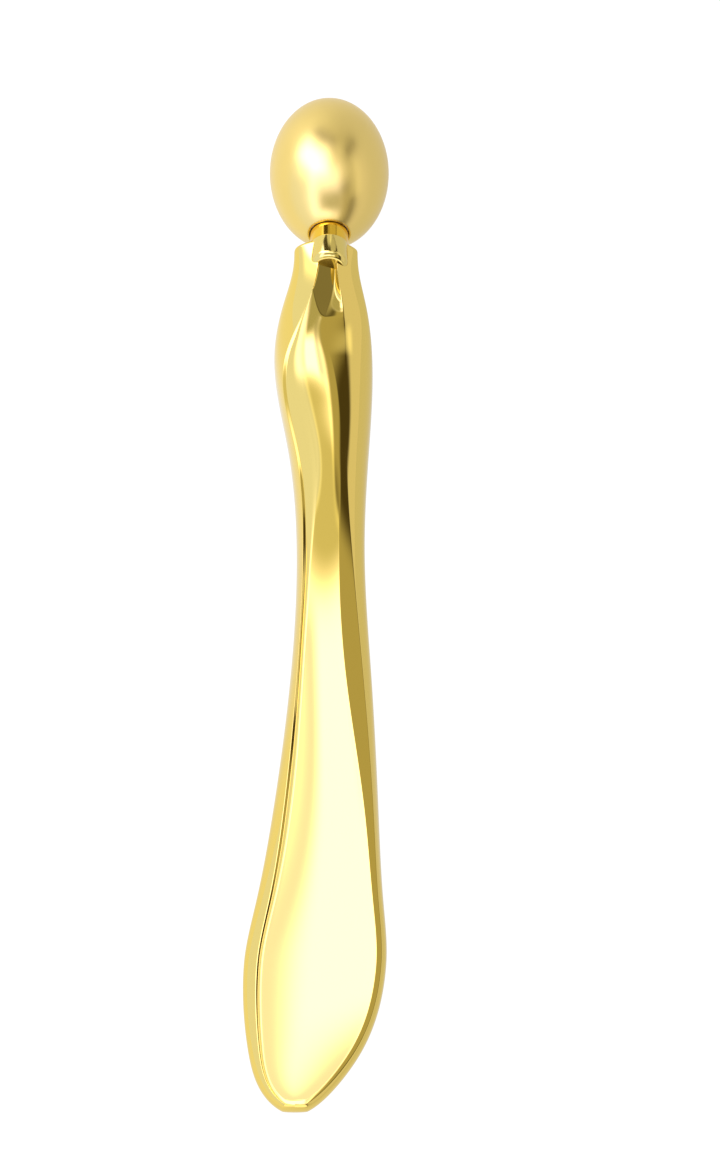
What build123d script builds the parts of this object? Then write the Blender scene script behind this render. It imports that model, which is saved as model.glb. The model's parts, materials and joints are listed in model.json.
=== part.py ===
"""Roller wand: an egg-shaped roller on a sculpted, die-cast scoop handle.

It lies on its back, front up: +Y is the roller end, +X the right-hand side seen
from above, z = 0 the surface it lies on. Lengths are in millimetres.
"""

import os
from math import ceil, cos, hypot, radians, sin, sqrt

import numpy as np
from build123d import *

# Overall
overall_length = 100.0  # roller's top to blade's tip, seen from above

# Roller
ball_length = 16.9
ball_diameter = 11.7
ball_tilt = 40.0  # roller axis, leaning back from the handle
roller_x = 1.42  # roller axis to the middle of the overall width

# Handle: places, as shares of the way from the blade's tip to the ball's middle
neck_place = 0.897
swell_place = 0.805
waist_place = 0.605
heel_place = 0.324  # where the blade has opened out
blade_place = 0.157  # widest place of the blade
shoulder_share = 0.6  # from the swell to the neck
brow_share = 0.4
hip_share = 0.75  # from the waist to the swell
grip_share = 0.5
flare_share = 0.5  # from the waist to the heel
palm_share = 0.4  # from the blade to the heel
toe_share = 0.6  # from the blade to the tip

# Handle: widths, and how far the middle stands off the overall middle
head_width = 6.45
shoulder_width = 8.1
swell_width = 9.63
grip_width = 7.98
waist_width = 6.72
flare_width = 7.98
heel_width = 10.36
palm_width = 12.6
blade_width = 14.06
head_past_face = 1.84  # length of the loft beyond the head's face, cut away across the roller axis
head_shift = 1.08
swell_shift = 0.83
grip_shift = 1.35
waist_shift = 1.55
flare_shift = 1.58
heel_shift = 1.08
blade_shift = 0.0
toe_shift = -1.03
tip_shift = -1.98

# Handle: height of the front edges above the back, which lies on the table at the blade
head_rise = 0.55  # front of the head, above the roller axis at the head's face
neck_front = 15.8
shoulder_front = 16.1
swell_front = 15.8
grip_front = 13.1
waist_front = 9.7
flare_front = 6.5
heel_front = 4.3
blade_front = 2.8
head_fall = 3.6  # back of the head, below the roller axis at the head's face
swell_back = 8.0
waist_back = 4.2
ground_off = 0.12  # taken off the blade's back to lay it flat
side_place = 0.45  # widest line of the sides, as a share of the thickness
head_side_place = 0.66

# Handle: the front between the two side bands
head_crown = 0.05
swell_crown = 0.28  # rise of the petal over its own edges
scoop_depth = 0.45  # fall of the scoop below its own edges
left_band_head = 2.35
left_band_swell = 1.1
left_band_grip = 0.72
left_band_waist = 0.62
left_band_heel = 1.0
left_band_blade = 1.3
left_facet_head = 0.1
left_facet_swell = 1.25
left_facet_hip = 1.9
left_facet_waist = 0.95
left_facet_heel = 0.8
left_facet_blade = 0.5
right_flank_head = 2.1
right_flank_swell = 2.5
right_flank_grip = 2.15
right_flank_waist = 1.28
right_flank_flare = 0.78
right_flank_blade = 0.48
right_facet_head = 0.25
right_facet_shoulder = 1.3
right_facet_brow = 2.0
right_facet_swell = 1.65
right_facet_waist = 1.25
right_facet_flare = 1.75
right_facet_heel = 0.94
right_facet_blade = 0.55
facet_slope = 0.34  # fall of a facet across its width
left_swell = 0.55  # how far up the left band bulges before it leans in, as a share
head_left_swell = 0.5
right_swell = 0.6
head_right_swell = 0.22
back_land = 0.5  # flat share of the back's width

# Handle: sloping cut that runs from the petal down to the barrel's foot
cut_x = 0.92
cut_behind_shoulder = 1.55
cut_fall_across = 0.4
cut_fall_along = 0.2
cut_floor = 1.85  # its lowest, above the roller axis at the head's face

# Handle: sections of the loft
section_gap = 3.6  # no further apart than this
tip_sections = 8
tip_turn = 77.0  # last section, in degrees round the blade's end
tip_taper = 1.25  # more than 1 draws the blade's end in
tip_thickness = 0.34  # share of the blade's thickness left at its end
rim_round = 1.2  # how far from the tip the rim starts to round off

# Socket barrel on the head
neck_length = 1.7  # collar seen between the ball and the barrel
barrel_radius = 1.7
barrel_length = 2.8
barrel_round = 0.4
barrel_stand = 0.12  # barrel's end, out of the head's face
head_corner = 0.6  # rounding of the head round its face
corner_steps = 4
head_depth = 5.8  # head's size across its face, front to back
head_drop = 1.3  # head's middle, behind the roller axis
head_over = 0.2  # the face's rounding stands outside the head's sides by this
head_edge = 1.5  # rounding of the head's four long edges

# Shaft
journal_radius = 1.0
collar_radius = 1.88
tail_radius = 1.2
tail_length = 2.2
tail_clearance = 0.1  # left free at the socket's floor
tail_grooves = 12
groove_depth = 0.12
shaft_past_middle = 3.0  # journal's end, past the ball's middle
groove_from_end = 0.6
groove_width = 0.34
groove_radius = 0.75
end_chamfer = 0.15

# Bushes, washers and clip
land_radius = 2.12  # flat on the ball's end, round its mouth
mouth_radius = 1.98
mouth_depth = 0.85
bush_radius = 1.6
bush_length = 3.2
flange_radius = 1.85
flange_thickness = 0.4
running_clearance = 0.03
end_play = 0.05
washer_thickness = 0.2
washer_radius = 1.6
clip_thickness = 0.3
clip_radius = 1.4
clip_washer_radius = 1.5
clip_opening = 1.1
bore_room = 0.8  # room past the shaft's end


def spline_through(*points):
    """A smooth function of y through (y, value) points: a cubic spline, level at its lowest y."""
    y, value = np.array(sorted(points), float).T
    gap = np.diff(y)
    slope = np.diff(value) / gap
    system = np.diag(2 * (np.append(gap, 0) + np.append(0, gap)))
    system += np.diag(gap, 1) + np.diag(gap, -1)
    system[-1] = 0
    system[-1, -1] = 1
    bend = np.linalg.solve(system, 6 * np.append(np.diff(slope, prepend=0), 0))

    def at(where):
        i = int(np.clip(np.searchsorted(y, where) - 1, 0, len(gap) - 1))
        low, high = where - y[i], y[i + 1] - where
        cubic = (bend[i] * high**3 + bend[i + 1] * low**3) / (6 * gap[i])
        start = (value[i] / gap[i] - bend[i] * gap[i] / 6) * high
        finish = (value[i + 1] / gap[i] - bend[i + 1] * gap[i] / 6) * low
        return float(cubic + start + finish)

    return at


def between(low, high, share):
    return low + (high - low) * share


def ball_end_at(radius):
    """Distance from the ball's middle at which its surface has this radius."""
    return half_ball * sqrt(1 - (radius / ball_radius) ** 2)


# Frame of the roller: its axis runs from the ball down and forward into the head
tip_y = -overall_length / 2
tilt = radians(ball_tilt)
half_ball = ball_length / 2
ball_radius = ball_diameter / 2
ball_y = overall_length / 2 - hypot(half_ball * cos(tilt), ball_radius * sin(tilt))
ball_z = hypot(half_ball * sin(tilt), ball_radius * cos(tilt))
axis = Vector(0, -cos(tilt), sin(tilt))
roller_plane = Plane((roller_x, ball_y, ball_z), x_dir=(1, 0, 0), z_dir=axis)
profile_plane = Plane(roller_plane.origin, x_dir=(1, 0, 0), z_dir=-roller_plane.y_dir)
roller_axis = Axis(roller_plane.origin, axis)

# Stack along the roller axis, measured from the ball's middle towards the head
land_at = ball_end_at(land_radius)
face_at = land_at + neck_length
barrel_end = face_at + barrel_length
head_face_at = face_at + barrel_stand
seat_at = land_at - mouth_depth
flange_at = seat_at + flange_thickness
washer_at = flange_at + end_play
collar_at = washer_at + washer_thickness
shaft_end = -shaft_past_middle
clip_at = shaft_end + groove_from_end
clip_washer_at = clip_at + clip_thickness
upper_bush_at = clip_washer_at + washer_thickness + end_play
bore_end = shaft_end - bore_room
bush_bore = journal_radius + running_clearance

# Stations of the handle
head_y = ball_y - face_at * cos(tilt) + head_past_face
neck_y = between(tip_y, ball_y, neck_place)
swell_y = between(tip_y, ball_y, swell_place)
waist_y = between(tip_y, ball_y, waist_place)
heel_y = between(tip_y, ball_y, heel_place)
blade_y = between(tip_y, ball_y, blade_place)
shoulder_y = between(swell_y, neck_y, shoulder_share)
brow_y = between(swell_y, neck_y, brow_share)
hip_y = between(waist_y, swell_y, hip_share)
grip_y = between(waist_y, swell_y, grip_share)
flare_y = between(waist_y, heel_y, flare_share)
palm_y = between(blade_y, heel_y, palm_share)
toe_y = between(blade_y, tip_y, toe_share)
face_z = ball_z + face_at * sin(tilt)
head_front = face_z + head_rise
head_back = face_z - head_fall

width = spline_through(
    (head_y, head_width),
    (neck_y, head_width),
    (shoulder_y, shoulder_width),
    (swell_y, swell_width),
    (grip_y, grip_width),
    (waist_y, waist_width),
    (flare_y, flare_width),
    (heel_y, heel_width),
    (palm_y, palm_width),
    (blade_y, blade_width),
)
shift = spline_through(
    (head_y, head_shift),
    (neck_y, head_shift),
    (swell_y, swell_shift),
    (grip_y, grip_shift),
    (waist_y, waist_shift),
    (flare_y, flare_shift),
    (heel_y, heel_shift),
    (blade_y, blade_shift),
    (toe_y, toe_shift),
    (tip_y, tip_shift),
)
front = spline_through(
    (head_y, head_front),
    (neck_y, neck_front),
    (shoulder_y, shoulder_front),
    (swell_y, swell_front),
    (grip_y, grip_front),
    (waist_y, waist_front),
    (flare_y, flare_front),
    (heel_y, heel_front),
    (blade_y, blade_front),
    (tip_y, blade_front),
)
back = spline_through(
    (head_y, head_back),
    (swell_y, swell_back),
    (waist_y, waist_back),
    (heel_y, -ground_off),
    (palm_y, -ground_off),
    (blade_y, -ground_off),
    (tip_y, -ground_off),
)
side_share = spline_through(
    (head_y, head_side_place),
    (neck_y, head_side_place),
    (swell_y, side_place),
    (waist_y, side_place),
    (blade_y, side_place),
    (tip_y, side_place),
)
left_bulge = spline_through(
    (head_y, head_left_swell),
    (neck_y, head_left_swell),
    (swell_y, left_swell),
    (waist_y, left_swell),
    (blade_y, left_swell),
    (tip_y, left_swell),
)
right_bulge = spline_through(
    (head_y, head_right_swell),
    (neck_y, head_right_swell),
    (swell_y, right_swell),
    (waist_y, right_swell),
    (blade_y, right_swell),
    (tip_y, right_swell),
)
crown = spline_through(
    (head_y, head_crown),
    (neck_y, head_crown),
    (swell_y, swell_crown),
    (grip_y, swell_crown),
    (waist_y, head_crown),
    (flare_y, -scoop_depth / 2),
    (heel_y, -scoop_depth),
    (blade_y, -scoop_depth),
    (tip_y, -scoop_depth),
)
left_band = spline_through(
    (head_y, left_band_head),
    (neck_y, left_band_head),
    (shoulder_y, left_band_head),
    (swell_y, left_band_swell),
    (grip_y, left_band_grip),
    (waist_y, left_band_waist),
    (flare_y, left_band_waist),
    (heel_y, left_band_heel),
    (blade_y, left_band_blade),
)
left_facet = spline_through(
    (head_y, left_facet_head),
    (neck_y, left_facet_head),
    (shoulder_y, left_facet_head),
    (swell_y, left_facet_swell),
    (hip_y, left_facet_hip),
    (waist_y, left_facet_waist),
    (heel_y, left_facet_heel),
    (blade_y, left_facet_blade),
)
right_flank = spline_through(
    (head_y, right_flank_head),
    (neck_y, right_flank_head),
    (swell_y, right_flank_swell),
    (grip_y, right_flank_grip),
    (waist_y, right_flank_waist),
    (flare_y, right_flank_flare),
    (heel_y, right_flank_blade),
    (blade_y, right_flank_blade),
)
right_facet = spline_through(
    (head_y, right_facet_head),
    (neck_y, right_facet_head),
    (shoulder_y, right_facet_shoulder),
    (brow_y, right_facet_brow),
    (swell_y, right_facet_swell),
    (waist_y, right_facet_waist),
    (flare_y, right_facet_flare),
    (heel_y, right_facet_heel),
    (blade_y, right_facet_blade),
)


def cut_height(x, y):
    """Height of the sloping cut, which stops at a floor under the barrel."""
    fall = cut_fall_across * (x - cut_x) + cut_fall_along * (y - shoulder_y + cut_behind_shoulder)
    return max(shoulder_front - fall, face_z + cut_floor)


def section(y, share=1.0, thick=1.0):
    """Cut across the handle at y, share of its full width and thickness."""
    held = max(y, blade_y)
    middle = shift(y)
    half = width(held) / 2 * share
    left, right = middle - half, middle + half
    left_ridge = left + left_band(held) * share
    petal_left = left_ridge + left_facet(held) * share
    right_ridge = right - right_flank(held) * share
    petal_right = right_ridge - right_facet(held) * share
    side = between(back(y), front(y), side_share(y))
    top = between(side, front(y), thick)
    bottom = between(side, back(y), thick)
    left_top = top - facet_slope * (petal_left - left_ridge) * thick
    right_top = top - facet_slope * (right_ridge - petal_right) * thick
    left_knee = (left, between(side, left_top, left_bulge(y)))
    right_knee = (right, between(side, right_top, right_bulge(y)))
    left_edge = (petal_left, min(top, cut_height(petal_left, y)))
    right_edge = (petal_right, min(top, cut_height(petal_right, y)))
    rise = 2 * crown(y) * share * thick
    middle_knee = (between(petal_left, petal_right, 0.5), between(left_edge[1], right_edge[1], 0.5) + rise)
    land = back_land * half
    with BuildSketch(Plane.XZ.offset(-y)) as cut:
        with BuildLine():
            Bezier((left, side), left_knee, (left_ridge, left_top))
            Line((left_ridge, left_top), left_edge)
            Bezier(left_edge, middle_knee, right_edge)
            Line(right_edge, (right_ridge, right_top))
            Bezier((right_ridge, right_top), right_knee, (right, side))
            Bezier((right, side), (right, bottom), (middle + land, bottom))
            Line((middle + land, bottom), (middle - land, bottom))
            Bezier((middle - land, bottom), (left, bottom), (left, side))
        make_face()
    return cut.sketch


def rounded(distance, radius):
    """Height of a quarter circle of this radius, as a share, this far from its foot."""
    return sqrt(1 - (1 - min(1.0, distance / radius)) ** 2)


def ring(label, inner, outer, start, thickness):
    """A flat or long ring round the roller axis."""
    with BuildPart() as piece:
        with BuildSketch(roller_plane.offset(start)):
            Circle(outer)
            Circle(inner, mode=Mode.SUBTRACT)
        extrude(amount=thickness)
    piece.part.label = label
    return piece


# Handle: sections at the named stations and evenly between them, then round the tip
named_stations = [head_y, neck_y, shoulder_y, swell_y, grip_y, waist_y, flare_y, heel_y, palm_y, blade_y]
slices = []
for upper, lower in zip(named_stations, named_stations[1:]):
    steps = ceil((upper - lower) / section_gap)
    for step in range(steps):
        slices.append(section(between(upper, lower, step / steps)))
for step in range(tip_sections):
    turn = radians(tip_turn) * sin(radians(90 * step / (tip_sections - 1)))
    y = between(blade_y, tip_y, sin(turn) / sin(radians(tip_turn)))
    thick = between(tip_thickness, 1.0, rounded(y - tip_y, rim_round))
    slices.append(section(y, cos(turn) ** tip_taper, thick))

with BuildPart() as head_end_waste:
    with BuildSketch(roller_plane.offset(head_face_at - head_depth)):
        Circle(2 * head_depth)
    extrude(amount=head_depth + head_corner)
    rings = []
    for step in range(corner_steps + 1):
        turn = radians(90 * step / corner_steps)
        inset = head_corner * (1 - sin(turn))
        depth = head_corner * (1 - cos(turn))
        with BuildSketch(roller_plane.offset(head_face_at + depth)) as head_ring:
            with Locations((head_shift - roller_x, -head_drop)):
                wide = head_width + 2 * (head_over - inset)
                RectangleRounded(wide, head_depth - 2 * inset, head_edge + head_corner - inset)
        rings.append(head_ring.sketch)
    loft(rings, mode=Mode.SUBTRACT)

with BuildPart() as barrel:
    with BuildSketch(profile_plane):
        with BuildLine():
            Polyline(
                (barrel_radius - barrel_round, barrel_end),
                (0, barrel_end),
                (0, face_at),
                (barrel_radius, face_at),
                (barrel_radius, barrel_end - barrel_round),
            )
            RadiusArc(
                (barrel_radius, barrel_end - barrel_round),
                (barrel_radius - barrel_round, barrel_end),
                -barrel_round,
            )
        make_face()
    revolve(axis=roller_axis)

with BuildPart() as handle:
    loft(slices)
    split(bisect_by=Plane.XY, keep=Keep.TOP)
    add(head_end_waste.part, mode=Mode.SUBTRACT)
    add(barrel.part)
    with BuildSketch(roller_plane.offset(face_at)):
        Circle(tail_radius)
    extrude(amount=tail_length + tail_clearance, mode=Mode.SUBTRACT)
handle.part.label = "handle"

# Roller
with BuildPart() as roller_ball:
    with BuildSketch(profile_plane):
        with BuildLine():
            EllipticalCenterArc((0, 0), ball_radius, half_ball, start_angle=-90, arc_size=180)
            Line((0, half_ball), (0, -half_ball))
        make_face()
    revolve(axis=roller_axis)
    with BuildSketch(roller_plane.offset(land_at)):
        Circle(ball_radius)
    extrude(amount=half_ball, mode=Mode.SUBTRACT)
    with BuildSketch(roller_plane.offset(seat_at)):
        Circle(mouth_radius)
    extrude(amount=mouth_depth, mode=Mode.SUBTRACT)
    with BuildSketch(roller_plane.offset(bore_end)):
        Circle(bush_radius)
    extrude(amount=seat_at - bore_end, mode=Mode.SUBTRACT)
roller_ball.part.label = "roller_ball"

# Shaft
with BuildPart() as roller_shaft:
    with BuildSketch(profile_plane):
        with BuildLine():
            Polyline(
                (0, shaft_end),
                (journal_radius - end_chamfer, shaft_end),
                (journal_radius, shaft_end + end_chamfer),
                (journal_radius, clip_at),
                (groove_radius, clip_at),
                (groove_radius, clip_at + groove_width),
                (journal_radius, clip_at + groove_width),
                (journal_radius, collar_at),
                (collar_radius - end_chamfer, collar_at),
                (collar_radius, collar_at + end_chamfer),
                (collar_radius, face_at),
                (tail_radius, face_at),
                (tail_radius, face_at + tail_length - end_chamfer),
                (tail_radius - end_chamfer, face_at + tail_length),
                (0, face_at + tail_length),
                close=True,
            )
        make_face()
    revolve(axis=roller_axis)
    with BuildSketch(roller_plane.offset(face_at + end_chamfer)):
        with PolarLocations(tail_radius, tail_grooves):
            Circle(groove_depth)
    extrude(amount=tail_length, mode=Mode.SUBTRACT)
roller_shaft.part.label = "roller_shaft"

# Bushes and washers
with BuildPart() as lower_bush:
    with BuildSketch(roller_plane.offset(seat_at - bush_length)):
        Circle(bush_radius)
    extrude(amount=bush_length)
    with BuildSketch(roller_plane.offset(seat_at)):
        Circle(flange_radius)
    extrude(amount=flange_thickness)
    with BuildSketch(roller_plane.offset(seat_at - bush_length)):
        Circle(bush_bore)
    extrude(amount=bush_length + flange_thickness, mode=Mode.SUBTRACT)
lower_bush.part.label = "lower_bush"

upper_bush = ring("upper_bush", bush_bore, bush_radius, upper_bush_at, bush_length)
thrust_washer = ring("thrust_washer", bush_bore, washer_radius, washer_at, washer_thickness)
clip_washer = ring("clip_washer", bush_bore, clip_washer_radius, clip_washer_at, washer_thickness)

# Clip
with BuildPart() as retaining_clip:
    with BuildSketch(roller_plane.offset(clip_at)):
        Circle(clip_radius)
        Circle(groove_radius + running_clearance, mode=Mode.SUBTRACT)
        with Locations((clip_radius, 0)):
            Rectangle(2 * clip_radius, clip_opening, mode=Mode.SUBTRACT)
    extrude(amount=clip_thickness)
retaining_clip.part.label = "retaining_clip"

os.makedirs("parts", exist_ok=True)
roller_pieces = [roller_ball, lower_bush, upper_bush]
fixed_pieces = [handle, roller_shaft, thrust_washer, clip_washer, retaining_clip]
for piece in fixed_pieces + roller_pieces:
    print(piece.part.label, piece.part.is_valid, round(piece.part.volume, 2), len(piece.part.solids()))
    export_step(piece.part, f"parts/{piece.part.label}.step")
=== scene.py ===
import json
from math import cos, pi, radians, sin, sqrt, tan

import bmesh
import bpy
import numpy as np
from mathutils import Matrix, Vector


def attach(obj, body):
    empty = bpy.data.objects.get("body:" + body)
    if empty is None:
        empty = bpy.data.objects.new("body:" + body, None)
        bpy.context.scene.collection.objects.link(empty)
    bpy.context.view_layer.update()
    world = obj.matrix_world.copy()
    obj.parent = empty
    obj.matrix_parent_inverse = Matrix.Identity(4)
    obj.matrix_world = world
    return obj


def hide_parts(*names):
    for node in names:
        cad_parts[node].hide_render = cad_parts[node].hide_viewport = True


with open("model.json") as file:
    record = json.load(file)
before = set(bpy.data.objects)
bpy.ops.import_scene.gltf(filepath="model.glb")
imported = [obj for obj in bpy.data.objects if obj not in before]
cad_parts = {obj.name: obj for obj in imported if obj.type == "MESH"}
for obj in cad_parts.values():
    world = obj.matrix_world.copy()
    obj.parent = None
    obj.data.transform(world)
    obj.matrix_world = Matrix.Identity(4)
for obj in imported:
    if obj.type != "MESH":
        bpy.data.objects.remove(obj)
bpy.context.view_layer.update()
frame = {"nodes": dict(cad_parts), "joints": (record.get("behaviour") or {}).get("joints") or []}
mm = 0.001
scene = bpy.context.scene

# the frame gives where the roller turns and which way its axis runs
rollerJoint = next(joint for joint in frame["joints"] if joint["name"] == "ball_spin")
rollerMiddle = Vector(rollerJoint["pos_m"])
rollerAxis = Vector(rollerJoint["axis"]).normalized()
rollerSide = Vector((1, 0, 0))
rollerFront = rollerAxis.cross(rollerSide)
rollerFrame = Matrix((rollerSide, rollerFront, rollerAxis)).transposed().to_4x4()
rollerFrame.translation = rollerMiddle

faceAt = 9.5185  # millimetres along the axis from the roller's middle to the handle's end face
faceHeight = (rollerMiddle / mm + rollerAxis * faceAt).z
ballMiddleY = rollerMiddle.y / mm

cameraLook = {
    "lens": 800,  # so long that the wand is seen almost without perspective
    "sensor": 36,
    "frameHeight": 113.7 * mm,
    "aim": Vector((4.44 * mm, 2.76 * mm, 5 * mm)),
    "clip": (0.01, 20),
}


def makeCamera(look):
    camera = bpy.data.objects.new("overheadCamera", bpy.data.cameras.new("overheadCamera"))
    scene.collection.objects.link(camera)
    camera.data.lens = look["lens"]
    camera.data.sensor_width = look["sensor"]
    camera.data.clip_start, camera.data.clip_end = look["clip"]
    distance = look["frameHeight"] * look["lens"] / look["sensor"]
    camera.location = look["aim"] + Vector((0, 0, distance))  # straight above, looking down
    scene.camera = camera
    print("camera stands", round(distance, 3), "m above the wand")


makeCamera(cameraLook)


def feed(tree, value, socket):
    if isinstance(value, bpy.types.NodeSocket):  # another node's output
        tree.links.new(value, socket)
    else:
        socket.default_value = value


def addNode(tree, kind, **inputs):
    node = tree.nodes.new(kind)
    for key, value in inputs.items():
        feed(tree, value, node.inputs[key.replace("_", " ")])
    return node


def addMath(tree, operation, *values):
    node = tree.nodes.new("ShaderNodeMath")
    node.operation = operation
    for socket, value in zip(node.inputs, values):
        feed(tree, value, socket)
    return node.outputs[0]


def addRange(tree, value, low, high, first=0.0, last=1.0, curve="LINEAR"):
    node = addNode(tree, "ShaderNodeMapRange", Value=value, From_Min=low, From_Max=high,
                   To_Min=first, To_Max=last)
    node.interpolation_type = curve
    return node.outputs["Result"]


def splitAxes(tree, place):
    split = tree.nodes.new("ShaderNodeSeparateXYZ")
    tree.links.new(place, split.inputs[0])
    return split.outputs


def newMaterial(name):
    material = bpy.data.materials.new(name)
    material.use_nodes = True
    return material, material.node_tree, material.node_tree.nodes["Principled BSDF"]


finishLooks = {
    "polishedGold": {"color": (0.86, 0.645, 0.15, 1), "metallic": 1, "roughness": (0.03, 0.07),
                     "grain": 160, "detail": 3, "noise": (0.35, 0.7)},
    "barrelGold": {"color": (0.82, 0.64, 0.17, 1), "metallic": 1, "roughness": (0.08, 0.11),
                   "grain": 300, "detail": 3, "noise": (0.35, 0.7)},
    "satinGold": {"color": (0.87, 0.655, 0.19, 1), "metallic": 1, "roughness": (0.29, 0.33),
                  "grain": 400, "detail": 3, "noise": (0.35, 0.7)},
    "neckGold": {"color": (0.9, 0.56, 0.05, 1), "metallic": 1, "roughness": (0.08, 0.12),
                 "grain": 400, "detail": 3, "noise": (0.35, 0.7)},
    "bushPlastic": {"color": (0.82, 0.8, 0.74, 1), "metallic": 0, "roughness": (0.35, 0.5),
                    "grain": 900, "detail": 2, "noise": (0.3, 0.7)},
    "washerSteel": {"color": (0.6, 0.6, 0.58, 1), "metallic": 1, "roughness": (0.22, 0.36),
                    "grain": 700, "detail": 2, "noise": (0.3, 0.7)},
    "clipSteel": {"color": (0.3, 0.31, 0.33, 1), "metallic": 1, "roughness": (0.3, 0.45),
                  "grain": 700, "detail": 2, "noise": (0.3, 0.7)},
}


def makeFinish(name, look):
    # fine noise moves the roughness between its two values
    material, tree, shader = newMaterial(name)
    shader.inputs["Metallic"].default_value = look["metallic"]
    shader.inputs["Base Color"].default_value = look["color"]
    place = tree.nodes.new("ShaderNodeTexCoord")
    grain = addNode(tree, "ShaderNodeTexNoise", Vector=place.outputs["Object"],
                    Scale=look["grain"], Detail=look["detail"])
    roughness = addRange(tree, grain.outputs["Fac"], *look["noise"], *look["roughness"])
    tree.links.new(roughness, shader.inputs["Roughness"])
    return material


finishes = {name: makeFinish(name, look) for name, look in finishLooks.items()}
print("finishes mixed:", ", ".join(finishes))


def between(low, high, share):
    return low + (high - low) * share


def halfway(low, high):
    return between(low, high, 0.5)


def splineThrough(*points):
    y, value = np.array(sorted(points), float).T
    gap = np.diff(y)
    slope = np.diff(value) / gap
    system = np.diag(2 * (np.append(gap, 0) + np.append(0, gap)))
    system += np.diag(gap, 1) + np.diag(gap, -1)
    system[-1] = 0
    system[-1, -1] = 1
    load = 6 * np.append(np.diff(slope, prepend=0), 0)  # level at its lowest y
    bend = np.linalg.solve(system, load)

    def at(where):
        i = int(np.clip(np.searchsorted(y, where) - 1, 0, len(gap) - 1))
        low, high = where - y[i], y[i + 1] - where
        cubic = (bend[i] * high**3 + bend[i + 1] * low**3) / (6 * gap[i])
        start = (value[i] / gap[i] - bend[i] * gap[i] / 6) * high
        finish = (value[i + 1] / gap[i] - bend[i + 1] * gap[i] / 6) * low
        return float(cubic + start + finish)

    return at


def bezierPoints(controls, ts):
    p = [np.array(c, float) for c in controls]
    t = np.array(ts)[:, None]
    if len(p) == 2:
        return (1 - t) * p[0] + t * p[1]
    return (1 - t) ** 2 * p[0] + 2 * t * (1 - t) * p[1] + t**2 * p[2]


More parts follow.
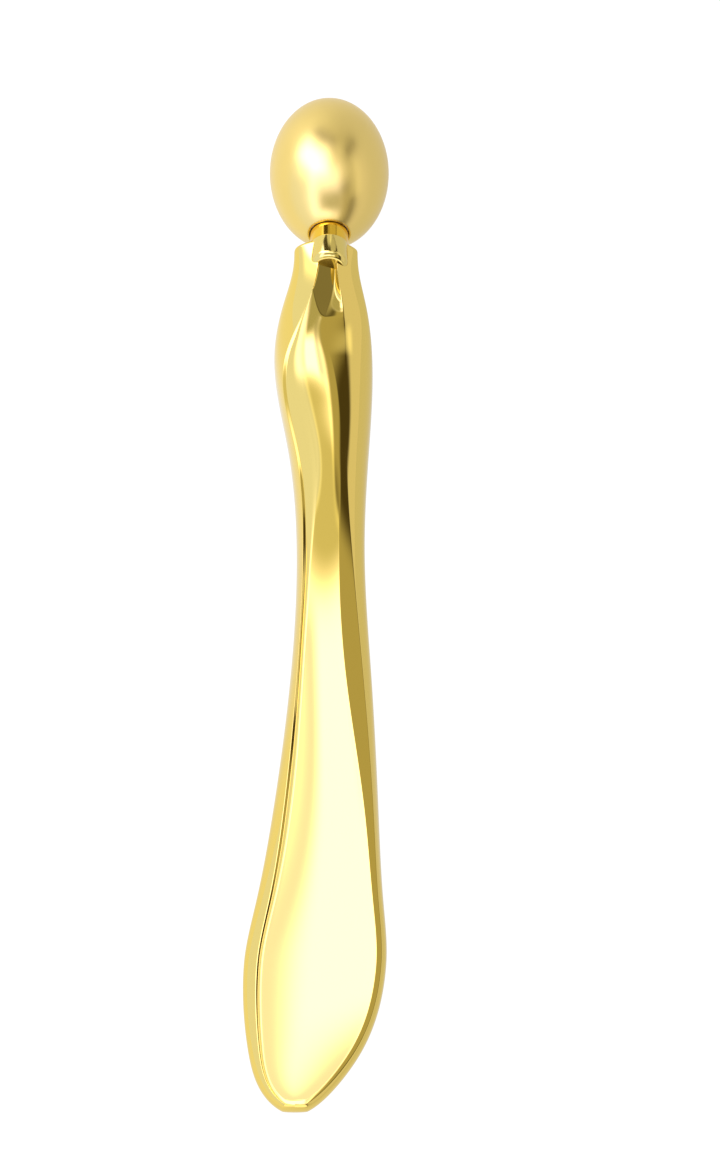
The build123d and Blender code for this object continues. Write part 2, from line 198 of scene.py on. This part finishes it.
# the handle, in millimetres: each curve runs along y through its values at the named stations
handleShape = {
    "overallLength": 100.0,
    "places": {  # as shares of the way from the tip to the ball's middle
        "neck": 0.897, "swell": 0.805, "waist": 0.605, "heel": 0.324, "blade": 0.157,
    },
    "placesBetween": {  # as shares of the way from one station to another
        "shoulder": ("swell", "neck", 0.6), "brow": ("swell", "neck", 0.4),
        "hip": ("waist", "swell", 0.75), "grip": ("waist", "swell", 0.5),
        "flare": ("waist", "heel", 0.5), "palm": ("blade", "heel", 0.4),
        "toe": ("blade", "tip", 0.6),
    },
    "curves": {
        "width": {
            "head": 6.45, "neck": 6.45, "shoulder": 8.1, "swell": 9.63, "grip": 7.98,
            "waist": 6.72, "flare": 7.98, "heel": 10.36, "palm": 12.6, "blade": 14.06,
        },
        "shift": {  # of the section's middle to the right
            "head": 1.08, "neck": 1.08, "swell": 0.83, "grip": 1.35, "waist": 1.55,
            "flare": 1.58, "heel": 1.08, "blade": 0.0, "toe": -1.03, "tip": -1.98,
        },
        "front": {  # height of the petal's two edges
            "neck": 15.8, "shoulder": 16.1, "swell": 15.92, "hip": 14.6, "grip": 13.1,
            "waist": 9.7, "flare": 6.5, "heel": 4.3, "blade": 2.8, "tip": 2.8,
        },
        "back": {"swell": 8.0, "waist": 4.2, "heel": 0.0, "palm": 0.0, "blade": 0.0, "tip": 0.0},
        "side": {  # where a flank stands furthest out, as a share of the height
            "head": 0.66, "neck": 0.66, "swell": 0.45, "waist": 0.45, "blade": 0.45, "tip": 0.45,
        },
        "leftSwell": {  # how full the flank above that is
            "head": 0.5, "neck": 0.5, "swell": 0.55, "waist": 0.55, "blade": 0.55, "tip": 0.55,
        },
        "rightSwell": {
            "head": 0.22, "neck": 0.22, "swell": 0.6, "waist": 0.6, "blade": 0.6, "tip": 0.6,
        },
        "crown": {  # rise of the petal's middle over its edges, below them in the scoop
            "head": 0.05, "neck": 0.05, "swell": 0.29, "grip": 0.29, "waist": 0.05,
            "flare": -0.18, "heel": -0.36, "blade": -0.36, "tip": -0.36,
        },
        "leftBand": {  # width of the left flank, seen from above
            "head": 2.35, "neck": 2.35, "shoulder": 2.35, "swell": 1.1, "grip": 0.72,
            "waist": 0.62, "flare": 0.62, "heel": 1.0, "blade": 1.3,
        },
        "leftFacet": {
            "head": 0.1, "neck": 0.1, "shoulder": 0.1, "swell": 1.25, "hip": 1.9,
            "waist": 0.95, "heel": 0.8, "blade": 0.5,
        },
        "rightFlank": {
            "head": 2.1, "neck": 2.1, "swell": 2.62, "grip": 2.25, "waist": 1.28,
            "flare": 0.78, "heel": 0.48, "blade": 0.48,
        },
        "rightFacet": {
            "head": 0.25, "neck": 0.25, "shoulder": 1.3, "brow": 2.0, "swell": 1.53,
            "waist": 1.25, "flare": 1.75, "heel": 0.94, "blade": 0.55,
        },
        "facetSlope": {  # of the right facet, falling outwards
            "head": 0.34, "neck": 0.34, "swell": 0.445, "grip": 0.49, "waist": 0.385,
            "heel": 0.34, "blade": 0.34, "tip": 0.34,
        },
        "rimStep": {  # height of the left rim over the facet beside it
            "head": 0.0, "neck": 0.0, "swell": 0.0, "grip": 0.052, "waist": 0.182,
            "heel": 0.13, "blade": 0.13, "tip": 0.078,
        },
    },
    "headRise": 0.55, "headFall": 3.6,  # front and back of the head, from the end face's middle
    "leftFacetSlope": 0.36, "facetHollow": 0.03,
    "leastLeftFacet": 0.02, "leastRightFacet": 0.03,
    "rimWall": 0.34, "rimWallShare": 0.45,
    "creaseRound": 0.06, "creaseShare": 0.4,
    "backLand": 0.5, "landRound": 1.5,
    "cutX": 1.16, "cutBehindShoulder": 1.55, "cutFall": (0.4, 0.2),
    "cutFloor": 1.85, "cutFloorFall": 0.34,
    "faceTilt": 40.0, "faceCorner": 0.45, "faceStand": 0.12, "headPastFace": 1.84,
    "leanPastSwell": 1.0,
    "tipTurn": 77.0, "tipTaper": 1.12, "tipRound": 0.12, "tipEvening": 3,
    "rimAtTip": 0.85, "petalPastRim": 0.4,
}
handleSteps = {
    "edges": (18, 5, 9, 34, 12, 24, 12, 8, 12),  # points on each edge, from the left side round
    "petal": 3,  # which of these edges is the petal
    "creases": 5, "crease": 5,  # the first joins are creases, with so many points on each
    "sheet": 0.1, "sheetEnd": 39, "leanPasses": 14,  # sections for the leaning rings
    "corner": 9, "head": 130, "grip": 250, "tip": 130,  # rings
    "closing": (0.92, 0.75, 0.5, 0.25, 0.0),
}


def handleCurves(shape):
    tip = -shape["overallLength"] / 2
    places = {"tip": tip}
    for name, share in shape["places"].items():
        places[name] = between(tip, ballMiddleY, share)
    for name, (first, second, share) in shape["placesBetween"].items():
        places[name] = between(places[first], places[second], share)
    faceY = ballMiddleY - faceAt * cos(radians(shape["faceTilt"]))
    places["head"] = faceY + shape["headPastFace"]
    headHeights = {"front": faceHeight + shape["headRise"], "back": faceHeight - shape["headFall"]}
    curves = {}
    for name, values in shape["curves"].items():
        points = [(places[place], value) for place, value in values.items()]
        if name in headHeights:
            points.append((places["head"], headHeights[name]))
        curves[name] = splineThrough(*points)
    return curves, places


def cutHeight(shape, places, x, y):
    # the sloping cut between the petal and the barrel, with a gentler floor under the barrel
    across, along = shape["cutFall"]
    cutY = places["shoulder"] - shape["cutBehindShoulder"]
    fall = across * (x - shape["cutX"]) + along * (y - cutY)
    floor = faceHeight + shape["cutFloor"] - shape["cutFloorFall"] * (x - shape["cutX"])
    return np.maximum(shape["curves"]["front"]["shoulder"] - fall, floor)


def ringEdges(shape, curves, places, y, share=1.0):
    # nine edges round the handle, as control points (x, z, inset at the tip)
    held = max(y, places["blade"])
    middle = curves["shift"](y)
    half = curves["width"](held) / 2
    left, right = middle - half, middle + half
    leftRidge = left + curves["leftBand"](held)
    petalLeft = leftRidge + max(shape["leastLeftFacet"], curves["leftFacet"](held))
    rightRidge = right - curves["rightFlank"](held)
    petalRight = rightRidge - max(shape["leastRightFacet"], curves["rightFacet"](held))
    bottom, top = curves["back"](y), curves["front"](y)
    leftHeight = min(top, cutHeight(shape, places, petalLeft, y))
    rightHeight = min(top, cutHeight(shape, places, petalRight, y))
    even = min(1.0, shape["tipEvening"] * share)  # the facets even out at the very tip
    wall = min(shape["rimWall"], shape["rimWallShare"] * (petalLeft - leftRidge))
    leftTop = top - shape["leftFacetSlope"] * (petalLeft - leftRidge) * even
    rightTop = top - curves["facetSlope"](y) * (rightRidge - petalRight) * even
    side = between(bottom, top, curves["side"](y))
    leftFull = between(side, leftTop, curves["leftSwell"](y))
    rightFull = between(side, rightTop, curves["rightSwell"](y))
    rise = 2 * curves["crown"](y) * share  # a control point stands twice as high as its curve
    leftKnee, rightKnee = halfway(leftRidge, petalLeft), halfway(petalRight, rightRidge)
    gentleSlope = curves["facetSlope"](y) - shape["facetHollow"]
    land = shape["backLand"] * half
    rim, under = shape["rimAtTip"], shape["landRound"]
    inner = rim + shape["petalPastRim"]

    leftSide, rightSide = (left, side, 0), (right, side, 0)
    rimCrest = (leftRidge, leftTop + curves["rimStep"](y) * even, rim)
    rimFoot = (leftRidge + wall, leftTop, rim)
    rightCrest = (rightRidge, rightTop, rim)
    landLeft, landRight = (middle - land, bottom, under), (middle + land, bottom, under)
    return middle, [
        [leftSide, (left, leftFull, 0), rimCrest],
        [rimCrest, rimFoot],
        [rimFoot, (leftKnee, halfway(leftTop, leftHeight), rim), (petalLeft, leftHeight, inner)],
        [(petalLeft, top, inner), (halfway(petalLeft, petalRight), top + rise, inner),
         (petalRight, top, inner)],
        [(petalRight, rightHeight, inner),
         (rightKnee, rightHeight - gentleSlope * (rightKnee - petalRight), rim), rightCrest],
        [rightCrest, (right, rightFull, 0), rightSide],
        [rightSide, (right, bottom, 0), landRight],
        [landRight, landLeft],
        [landLeft, (left, bottom, 0), leftSide],
    ]


def creaseTrim(shape, edge):
    # the share of an edge that the crease at its end takes
    span = np.array(edge[-1])[:2] - np.array(edge[0])[:2]
    length = float(np.linalg.norm(span)) + 1e-9  # never quite zero
    return min(shape["creaseShare"], shape["creaseRound"] / length)


def ringPoints(shape, steps, places, y, edges):
    # the front ridges get a small radius, every other join is already smooth
    points = []
    for i, edge in enumerate(edges):
        trim = creaseTrim(shape, edge)
        start = trim if 0 < i <= steps["creases"] else 0.0
        stop = 1 - trim if i < steps["creases"] else 1.0
        body = bezierPoints(edge, np.linspace(start, stop, steps["edges"][i]))
        if i == steps["petal"]:
            body[:, 1] = np.minimum(body[:, 1], cutHeight(shape, places, body[:, 0], y))
        if i >= steps["creases"]:
            points.extend(body[:-1])
            continue
        following = edges[i + 1]
        knee = np.array(edge[-1], float)
        after = bezierPoints(following, [creaseTrim(shape, following)])[0]
        if i == steps["petal"]:
            knee[1] = min(knee[1], cutHeight(shape, places, knee[0], y))
        if i + 1 == steps["petal"]:
            after[1] = min(after[1], cutHeight(shape, places, after[0], y))
        points.extend(body)
        inside = np.linspace(0, 1, steps["crease"] + 2)[1:-1]
        points.extend(bezierPoints([body[-1], knee, after], inside))
    return np.array(points)


def handleRings(shape, steps):
    curves, places = handleCurves(shape)
    tip, blade = places["tip"], places["blade"]
    fine = np.arange(blade, steps["sheetEnd"], steps["sheet"])
    slant = tan(radians(shape["faceTilt"]))

    def flatRing(y, share=1.0):
        middle, edges = ringEdges(shape, curves, places, y, share)
        return middle, ringPoints(shape, steps, places, y, edges)

    sheets = np.array([flatRing(y)[1] for y in fine])
    columns = np.arange(sheets.shape[1])

    def sheetAt(ys):
        # points of the handle's surface at each column's own y
        last = len(fine) - 1.001  # just short of the last section
        place = np.clip((ys - fine[0]) / (fine[1] - fine[0]), 0, last)
        low = place.astype(int)
        part = (place - low)[:, None]
        return sheets[low, columns] * (1 - part) + sheets[low + 1, columns] * part

    def leaningRing(y, share, shrink=0.0):
        # a ring through (y, faceHeight) whose top leans towards the roller
        ys = np.full(len(columns), float(y))
        for _ in range(steps["leanPasses"]):
            ys = y + slant * share * (sheetAt(ys)[:, 1] - faceHeight)
        found = sheetAt(ys)
        ring = np.column_stack([found[:, 0], ys, found[:, 1]])
        if shrink:
            x, z = [halfway(ring[:, axis].min(), ring[:, axis].max()) for axis in (0, 2)]
            middle = np.array([x, y + slant * share * (z - faceHeight), z])
            reach = np.linalg.norm(ring - middle, axis=1)[:, None]
            ring = middle + (ring - middle) * (1 - shrink / reach)
        return ring

    def tipRing(sectionY, y, share, turn):
        middle, flat = flatRing(sectionY, share)
        xs = middle + (flat[:, 0] - middle) * share
        return np.column_stack([xs, y + flat[:, 2] * sin(turn), flat[:, 1]])

    # the rounded corner of the end face, then rings that lean less and less down to the swell
    faceY = (rollerMiddle / mm + rollerAxis * (faceAt + shape["faceStand"])).y
    corner = shape["faceCorner"]
    along = cos(radians(shape["faceTilt"]))
    rings = []
    for turn in [radians(angle) for angle in np.linspace(90, 0, steps["corner"])]:
        depth = corner * (1 - sin(turn))
        rings.append(leaningRing(faceY - depth / along, 1.0, corner * (1 - cos(turn))))
    headY, straightY = faceY - corner / along, places["swell"] - shape["leanPastSwell"]
    for t in np.linspace(0, 1, steps["head"])[1:]:
        rings.append(leaningRing(between(headY, straightY, t), (1 - t) ** 2))
    for y in np.linspace(straightY, blade, steps["grip"])[1:]:
        rings.append(leaningRing(y, 0.0))

    # the scoop closes in an arc, with a small radius at its very end
    reach = (blade - tip - shape["tipRound"]) / sin(radians(shape["tipTurn"]))
    for turn in [radians(angle) for angle in np.linspace(0, shape["tipTurn"], steps["tip"])[1:]]:
        y = blade - reach * sin(turn)
        share = cos(turn) ** shape["tipTaper"]
        rings.append(tipRing(y, y, share, turn))
    for closing in steps["closing"]:
        y = tip + shape["tipRound"] * (1 - sqrt(1 - closing**2))
        rings.append(tipRing(tip, y, share * closing, turn))
    return rings


weldDistance = 2e-6  # metres


def skinRings(name, rings, closeStart=True):
    bm = bmesh.new()
    rows = [[bm.verts.new(Vector(point) * mm) for point in ring] for ring in rings]
    for before, after in zip(rows, rows[1:]):
        for i in range(len(before)):
            j = (i + 1) % len(before)
            bm.faces.new((before[i], before[j], after[j], after[i]))
    if closeStart:
        bm.faces.new(list(reversed(rows[0])))
    bmesh.ops.remove_doubles(bm, verts=bm.verts, dist=weldDistance)
    openEdges = [edge for edge in bm.edges if edge.is_boundary]
    ends = bmesh.ops.holes_fill(bm, edges=openEdges, sides=0)["faces"]
    for edge in {edge for face in ends for edge in face.edges}:
        edge.smooth = False
    bmesh.ops.recalc_face_normals(bm, faces=bm.faces)
    mesh = bpy.data.meshes.new(name)
    bm.to_mesh(mesh)
    bm.free()
    mesh.shade_smooth()
    return mesh


def makePiece(name, mesh, body, finish, replaced=()):
    piece = bpy.data.objects.new(name, mesh)
    scene.collection.objects.link(piece)
    piece.data.materials.clear()
    piece.data.materials.append(finishes[finish])
    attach(piece, body)
    if replaced:
        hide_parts(*replaced)
    print(name, "made with", len(mesh.polygons), "faces")


handleMesh = skinRings("wandHandle", handleRings(handleShape, handleSteps))
makePiece("wandHandle", handleMesh, "handle", "polishedGold", ["handle"])

# the round socket that holds the shaft, in millimetres, a little forward of the roller's axis
barrelShape = {"radius": 1.84, "forward": 0.16, "length": 2.75, "startRound": 0.12, "endRound": 0.6}
barrelSteps = {"turns": 96, "startRound": 6, "endRound": 12, "poleRadius": 0.0005}


def lathe(name, profile, turns, shift):
    # profile of (radius, distance along the roller axis), in millimetres
    rings = []
    for radius, along in profile:
        ring = []
        for i in range(turns):
            angle = 2 * pi * i / turns
            spot = Vector((radius * cos(angle), radius * sin(angle), along)) * mm
            ring.append((rollerFrame @ spot + shift) / mm)
        rings.append(ring)
    return skinRings(name, rings, closeStart=False)


def roundedCorner(radius, along, size, startTurn, stopTurn, steps):
    turns = [radians(between(startTurn, stopTurn, i / steps)) for i in range(steps + 1)]
    return [(radius + size * cos(turn), along + size * sin(turn)) for turn in turns]


def makeBarrel(shape, steps):
    radius, start, end = shape["radius"], faceAt, faceAt + shape["length"]
    startRound, endRound = shape["startRound"], shape["endRound"]
    profile = [(steps["poleRadius"], start), (radius - startRound, start)]
    profile += roundedCorner(radius - startRound, start + startRound, startRound, -90, 0,
                             steps["startRound"])
    profile += roundedCorner(radius - endRound, end - endRound, endRound, 0, 90,
                             steps["endRound"])
    profile += [(steps["poleRadius"], end)]
    forward = rollerFront.normalized() * shape["forward"] * mm
    return lathe("socketBarrel", profile, steps["turns"], forward)


barrelMesh = makeBarrel(barrelShape, barrelSteps)
makePiece("socketBarrel", barrelMesh, "handle", "barrelGold")

# the ball's outline: recess floor, recess wall, flat land, then the egg round to its far end
ballShape = {
    "Half Length": 8.45, "Half Width": 5.85, "Land Radius": 2.12, "Mouth Radius": 1.98,
    "Mouth Depth": 0.85,
}
ballSteps = {
    "along": 161, "round": 192,
    "floorEnd": 0.1, "wallEnd": 0.2, "landEnd": 0.25,  # shares of the outline's points
    "weld": 0.0005, "sharpFrom": 35,  # millimetres, degrees
}


def makeBallTree(shape, steps, finish):
    tree = bpy.data.node_groups.new("eggRoller", "GeometryNodeTree")
    tree.interface.new_socket("Geometry", in_out="OUTPUT", socket_type="NodeSocketGeometry")
    sockets = {}
    for key in shape:
        socket = tree.interface.new_socket(key, in_out="INPUT", socket_type="NodeSocketFloat")
        sockets[key] = socket.identifier
    given = tree.nodes.new("NodeGroupInput").outputs

    grid = addNode(tree, "GeometryNodeMeshGrid", Size_X=1.0, Size_Y=1.0,
                   Vertices_X=steps["along"], Vertices_Y=steps["round"] + 1)
    place = splitAxes(tree, tree.nodes.new("GeometryNodeInputPosition").outputs[0])
    along = addMath(tree, "ADD", place[0], 0.5)
    around = addMath(tree, "MULTIPLY", place[1], 2 * pi)

    landTurn = addMath(tree, "DIVIDE", given["Land Radius"], given["Half Width"])
    landTurn = addMath(tree, "ARCSINE", landTurn)
    turn = addRange(tree, along, steps["landEnd"], 1.0, landTurn, pi)
    egg = addMath(tree, "MULTIPLY", given["Half Width"], addMath(tree, "SINE", turn))
    egg = addMath(tree, "SUBTRACT", egg, given["Land Radius"])
    landWidth = addMath(tree, "SUBTRACT", given["Land Radius"], given["Mouth Radius"])
    floor = addRange(tree, along, 0.0, steps["floorEnd"], 0.0, given["Mouth Radius"])
    land = addRange(tree, along, steps["wallEnd"], steps["landEnd"], 0.0, landWidth)
    radius = addMath(tree, "ADD", addMath(tree, "ADD", floor, land), egg)
    sink = addRange(tree, along, steps["floorEnd"], steps["wallEnd"], given["Mouth Depth"], 0.0)
    height = addMath(tree, "MULTIPLY", given["Half Length"], addMath(tree, "COSINE", turn))
    height = addMath(tree, "SUBTRACT", height, sink)

    x = addMath(tree, "MULTIPLY", radius, addMath(tree, "COSINE", around))
    y = addMath(tree, "MULTIPLY", radius, addMath(tree, "SINE", around))
    spot = addNode(tree, "ShaderNodeCombineXYZ", X=x, Y=y, Z=height)
    chain = [
        addNode(tree, "GeometryNodeSetPosition", Position=spot.outputs[0]),
        addNode(tree, "GeometryNodeMergeByDistance", Distance=steps["weld"]),
        addNode(tree, "GeometryNodeRealizeInstances"),
        addNode(tree, "GeometryNodeSetMaterial", Material=finish),
        addNode(tree, "NodeGroupOutput"),
    ]
    tree.links.new(grid.outputs["Mesh"], chain[0].inputs[0])
    for first, second in zip(chain, chain[1:]):
        tree.links.new(first.outputs[0], second.inputs[0])
    return tree, sockets


def makeBall(shape, steps, finish):
    tree, sockets = makeBallTree(shape, steps, finish)
    holder = bpy.data.objects.new("ballHolder", bpy.data.meshes.new("ballHolder"))
    scene.collection.objects.link(holder)
    maker = holder.modifiers.new("eggRoller", "NODES")
    maker.node_group = tree
    for key, value in shape.items():
        maker[sockets[key]] = value
    settled = holder.evaluated_get(bpy.context.evaluated_depsgraph_get())
    mesh = bpy.data.meshes.new_from_object(settled)
    bpy.data.objects.remove(holder)
    mesh.transform(Matrix.Diagonal((mm, mm, mm, 1)))
    mesh.transform(rollerFrame)
    shell = bmesh.new()
    shell.from_mesh(mesh)
    if shell.calc_volume(signed=True) < 0:
        bmesh.ops.reverse_faces(shell, faces=shell.faces)
    shell.to_mesh(mesh)
    shell.free()
    mesh.shade_smooth()
    mesh.set_sharp_from_angle(angle=radians(steps["sharpFrom"]))
    return mesh


ballMesh = makeBall(ballShape, ballSteps, finishes["satinGold"])
makePiece("rollerBall", ballMesh, "roller", "satinGold", ["roller_ball"])

carriedFinishes = {
    "roller_shaft": "neckGold", "lower_bush": "bushPlastic", "upper_bush": "bushPlastic",
    "thrust_washer": "washerSteel", "clip_washer": "washerSteel", "retaining_clip": "clipSteel",
}
for node, finish in carriedFinishes.items():
    part = frame["nodes"][node]
    part.data.materials.clear()
    part.data.materials.append(finishes[finish])
print("finishes put on", len(carriedFinishes), "turned parts")


def flatSheet(name, halfX, halfY, material):
    mesh = bpy.data.meshes.new(name)
    corners = [(-halfX, -halfY, 0), (halfX, -halfY, 0), (halfX, halfY, 0), (-halfX, halfY, 0)]
    mesh.from_pydata(corners, [], [(0, 1, 2, 3)])
    mesh.materials.append(material)
    sheet = bpy.data.objects.new(name, mesh)
    scene.collection.objects.link(sheet)
    return sheet


# the floor glows white; in the wand's reflections alone it glows brighter on its left than on its
# right, painted light and shade that stands for a floor lit from its left
floorLook = {
    "size": 3.0, "color": (0.07, 0.07, 0.07, 1), "glow": 0.98,
    "paintedReflectionLeft": 0.92, "paintedReflectionRight": 0.62, "fade": 0.012,
}


def makeFloor(look):
    material, tree, shader = newMaterial("paleFloor")
    shader.inputs["Base Color"].default_value = look["color"]
    shader.inputs["Roughness"].default_value = 1
    shader.inputs["Specular IOR Level"].default_value = 0
    shader.inputs["Emission Color"].default_value = (1, 1, 1, 1)
    place = splitAxes(tree, tree.nodes.new("ShaderNodeTexCoord").outputs["Object"])
    # painted light and shade: the floor the wand mirrors glows brighter left of the middle and
    # darker right of it
    fade = addRange(tree, place[0], -look["fade"], look["fade"],
                    look["paintedReflectionLeft"], look["paintedReflectionRight"])
    path = tree.nodes.new("ShaderNodeLightPath")
    seen = addNode(tree, "ShaderNodeMix", Factor=path.outputs["Is Glossy Ray"],
                   A=look["glow"], B=fade)
    tree.links.new(seen.outputs["Result"], shader.inputs["Emission Strength"])
    flatSheet("paleFloor", look["size"] / 2, look["size"] / 2, material)
    print("floor laid,", look["size"], "m wide")


makeFloor(floorLook)

# soft boxes on the sky, in degrees: roll round the wand's length, lift towards the roller
studioLook = {
    "ambient": (0.075, 0.06, 0.03),
    "backdrop": (1, 1, 1, 1),
    "boxes": {
        "key": {"centre": (-9, -12), "half": (16, 17), "soft": (13, 12),
                "strength": 1.8, "color": (1, 1, 1.5)},
        "wide": {"centre": (-10, 5), "half": (36, 38), "soft": (12, 14),
                 "strength": 1.22, "color": (1, 1, 1.8)},
        "overhead": {"centre": (-4, -44), "half": (30, 16), "soft": (12, 8),
                     "strength": 0.7, "color": (1, 1, 0.9)},
        "leftWash": {"centre": (-82, -5), "half": (50, 60), "soft": (22, 20),
                     "strength": 0.88, "color": (1, 1.1, 1.6)},
        "ballLight": {"centre": (-45, 50), "half": (42, 13), "soft": (20, 9),
                      "strength": 3.1, "color": (1, 1, 1.5)},
        "topWash": {"centre": (-14, 44), "half": (60, 20), "soft": (16, 14),
                    "strength": 0.72, "color": (1, 1, 1)},
        "rightEdge": {"centre": (33, -15), "half": (15, 26), "soft": (12, 14),
                      "strength": 0.44, "color": (1, 0.95, 0.7)},
        "notch": {"centre": (48, 24), "half": (22, 16), "soft": (10, 8),
                  "strength": 0.07, "color": (1, 1, 0.8)},
        "ballSide": {"centre": (58, 24), "half": (11, 24), "soft": (9, 10),
                     "strength": 0.5, "color": (1, 1, 1)},
        "socket": {"centre": (60, 71), "half": (30, 12), "soft": (12, 8),
                   "strength": 0.55, "color": (1, 1, 1)},
        "rightPanel": {"centre": (93, -5), "half": (30, 54), "soft": (10, 14),
                       "strength": 0.74, "color": (1, 1, 1.15)},
        "nearEnd": {"centre": (0, -80), "half": (180, 14), "soft": (10, 12),
                    "strength": 1.4, "color": (1, 1, 1.2)},
        "farEnd": {"centre": (0, 88), "half": (180, 8), "soft": (20, 6),
                   "strength": 0.7, "color": (1, 1, 1)},
    },
}


def makeStudio(look):
    scene.world = bpy.data.worlds.new("studio")
    scene.world.use_nodes = True
    tree = scene.world.node_tree
    tree.nodes.clear()
    x, y, z = splitAxes(tree, tree.nodes.new("ShaderNodeTexCoord").outputs["Generated"])
    roll = addMath(tree, "MULTIPLY", addMath(tree, "ARCTAN2", x, z), 180 / pi)
    lift = addMath(tree, "MULTIPLY", addMath(tree, "ARCSINE", y), 180 / pi)
    red, green, blue = look["ambient"]
    total = addNode(tree, "ShaderNodeCombineXYZ", X=red, Y=green, Z=blue).outputs[0]
    for name, box in look["boxes"].items():
        masks = []
        for angle, centre, half, soft in zip((roll, lift), box["centre"], box["half"], box["soft"]):
            off = addMath(tree, "ABSOLUTE", addMath(tree, "SUBTRACT", angle, centre))
            outer, inner = half + soft / 2, half - soft / 2
            masks.append(addRange(tree, off, outer, inner, curve="SMOOTHERSTEP"))
        strength = addMath(tree, "MULTIPLY", addMath(tree, "MULTIPLY", *masks), box["strength"])
        lit = tree.nodes.new("ShaderNodeVectorMath")
        lit.operation = "SCALE"
        lit.label = name
        feed(tree, box["color"], lit.inputs[0])
        feed(tree, strength, lit.inputs["Scale"])
        joined = tree.nodes.new("ShaderNodeVectorMath")
        tree.links.new(lit.outputs[0], joined.inputs[0])
        tree.links.new(total, joined.inputs[1])
        total = joined.outputs[0]
    glow = addNode(tree, "ShaderNodeBackground", Color=total)
    backdrop = addNode(tree, "ShaderNodeBackground", Color=look["backdrop"])
    path = tree.nodes.new("ShaderNodeLightPath")
    mix = addNode(tree, "ShaderNodeMixShader", Fac=path.outputs["Is Camera Ray"])
    tree.links.new(glow.outputs[0], mix.inputs[1])
    tree.links.new(backdrop.outputs[0], mix.inputs[2])
    addNode(tree, "ShaderNodeOutputWorld", Surface=mix.outputs[0])
    print("studio with", len(look["boxes"]), "soft boxes")


makeStudio(studioLook)

# a dim card over the ball's neck side keeps the key light out of its lower half, millimetres
ballCardLook = {
    "centre": (2, 37, 44), "half": (20, 15), "soft": 9, "strength": 0.5, "color": (1, 1, 0.9, 1),
}


def makeCard(name, look):
    material, tree = newMaterial(name)[:2]
    tree.nodes.clear()
    place = splitAxes(tree, tree.nodes.new("ShaderNodeTexCoord").outputs["Object"])
    fades = []
    for along, half in zip(place, look["half"]):
        off = addMath(tree, "ABSOLUTE", along)
        fades.append(addRange(tree, off, half * mm, (half - look["soft"]) * mm,
                              curve="SMOOTHERSTEP"))
    glow = addNode(tree, "ShaderNodeEmission", Color=look["color"], Strength=look["strength"])
    clear = tree.nodes.new("ShaderNodeBsdfTransparent")
    both = addNode(tree, "ShaderNodeMixShader", Fac=addMath(tree, "MULTIPLY", *fades))
    tree.links.new(clear.outputs[0], both.inputs[1])
    tree.links.new(glow.outputs[0], both.inputs[2])
    addNode(tree, "ShaderNodeOutputMaterial", Surface=both.outputs[0])
    halfX, halfY = look["half"]
    card = flatSheet(name, halfX * mm, halfY * mm, material)
    card.location = Vector(look["centre"]) * mm
    card.visible_camera = False  # only mirrors see it
    card.visible_shadow = False
    print(name, "hung over the ball")


makeCard("ballCard", ballCardLook)
scene.view_settings.view_transform = "Standard"
